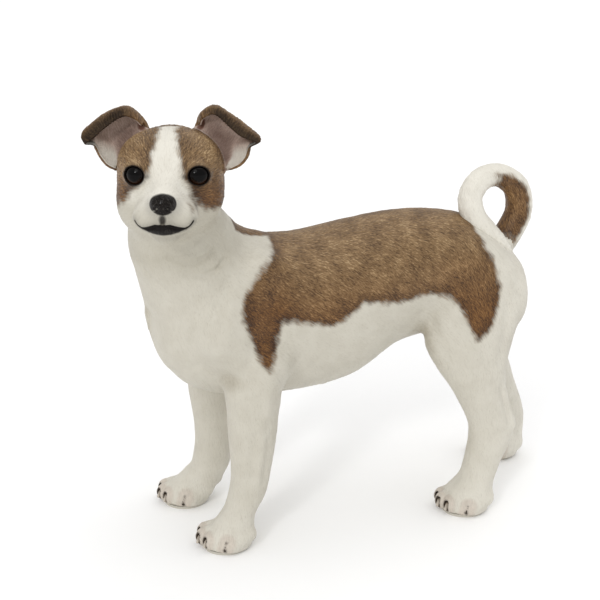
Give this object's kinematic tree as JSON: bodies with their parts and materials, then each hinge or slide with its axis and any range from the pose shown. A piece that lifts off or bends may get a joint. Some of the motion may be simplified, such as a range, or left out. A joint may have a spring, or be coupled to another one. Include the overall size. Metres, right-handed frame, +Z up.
{
  "type": "dog figurine",
  "caption": "Standing short-haired puppy figurine with carved fur, head turned to its left, folded ears and a tail curled over the back; it rests on felt paw pads.",
  "frame": {"origin": "centre of the base of the whole figurine's box, on the surface it stands on", "axes": "+Z up, the nose points to -Y and the tail to +Y, +X is the dog's left"},
  "size_m": [0.171, 0.4062, 0.3497],
  "materials": {
    "painted_casting": "painted satin, carved fur relief",
    "eye_glass": "polished dark glass",
    "rod_steel": "plain steel rod",
    "dowel_wood": "plain beech dowel",
    "pad_felt": "grey-beige felt",
    "plug_rubber": "soft off-white rubber"
  },
  "bodies": {
    "root": {"torso_shell": "painted_casting", "head_shell": "painted_casting", "left_ear": "painted_casting", "right_ear": "painted_casting", "left_eye": "eye_glass", "right_eye": "eye_glass", "tail": "painted_casting", "front_left_leg": "painted_casting", "front_right_leg": "painted_casting", "rear_left_leg": "painted_casting", "rear_right_leg": "painted_casting", "front_left_rod": "rod_steel", "front_right_rod": "rod_steel", "rear_left_rod": "rod_steel", "rear_right_rod": "rod_steel", "neck_dowel": "dowel_wood", "tail_dowel": "dowel_wood", "front_left_pad": "pad_felt", "front_right_pad": "pad_felt", "rear_left_pad": "pad_felt", "rear_right_pad": "pad_felt", "vent_plug": "plug_rubber"}
  },
  "joints": []
}
